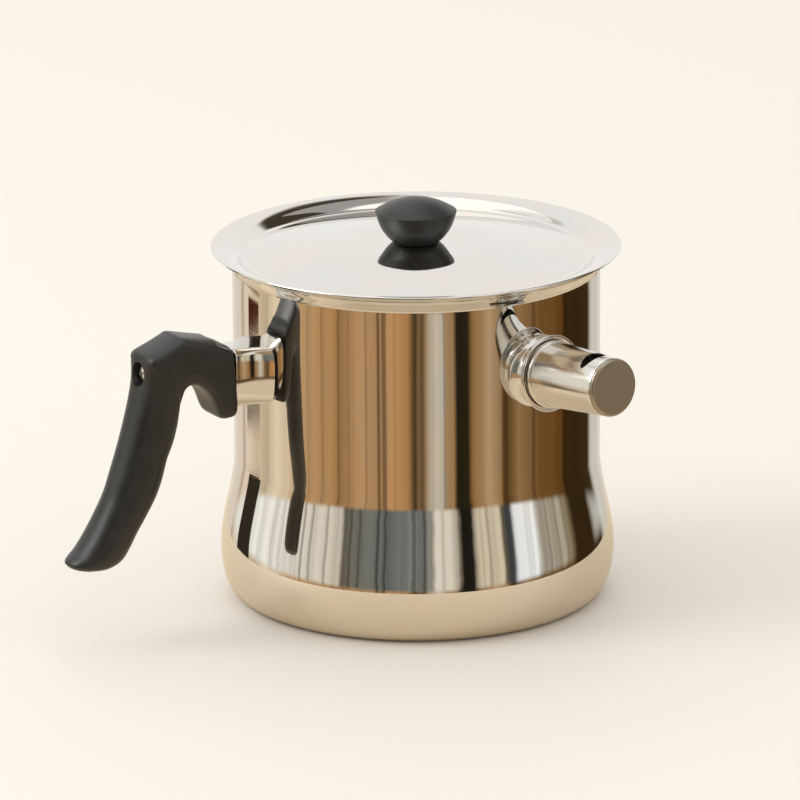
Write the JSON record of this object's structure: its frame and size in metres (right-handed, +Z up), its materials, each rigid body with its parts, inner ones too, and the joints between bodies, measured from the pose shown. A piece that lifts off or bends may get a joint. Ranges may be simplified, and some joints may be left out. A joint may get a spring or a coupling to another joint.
{
  "type": "milk boiler",
  "caption": "Double-walled whistling milk boiler in polished steel, with a filler neck and pull-off whistle, a black moulded handle and a lift-off domed lid with a black knob.",
  "frame": {"origin": "centre of the flat base, on the surface that the pot stands on", "axes": "+Z up the pot's axis, -X along the handle; the filler neck points 100 degrees round from the handle, on the -Y side"},
  "size_m": [0.2622, 0.2187, 0.1769],
  "materials": {
    "polished_steel": "mirror-polished stainless steel",
    "satin_steel": "satin stainless steel",
    "aluminium": "plain pressed aluminium",
    "black_bakelite": "satin black moulded bakelite",
    "brass": "turned brass"
  },
  "bodies": {
    "pot": {"outer_shell": "polished_steel", "inner_pot": "polished_steel", "base_cap": "polished_steel", "base_spreader": "aluminium", "filler_neck": "polished_steel", "handle_ferrule": "polished_steel", "handle_bracket": "satin_steel", "handle_grip": "black_bakelite", "handle_screw": "polished_steel", "handle_washer": "polished_steel"},
    "lid": {"lid_plate": "polished_steel", "lid_knob": "black_bakelite", "knob_insert": "brass", "knob_screw": "polished_steel", "knob_washer": "polished_steel"},
    "whistle": {"whistle_body": "polished_steel", "whistle_sleeve": "polished_steel", "whistle_inner_disc": "satin_steel", "whistle_outer_disc": "satin_steel", "whistle_end_cap": "satin_steel"}
  },
  "joints": [
    {"name": "lid_lift", "type": "slide", "parent": "pot", "child": "lid", "axis": [0, 0, 1], "range_m": [0, 0.06]},
    {"name": "whistle_pull", "type": "slide", "parent": "pot", "child": "whistle", "axis": [0.1733, -0.983, 0.061], "range_m": [0, 0.035]}
  ]
}
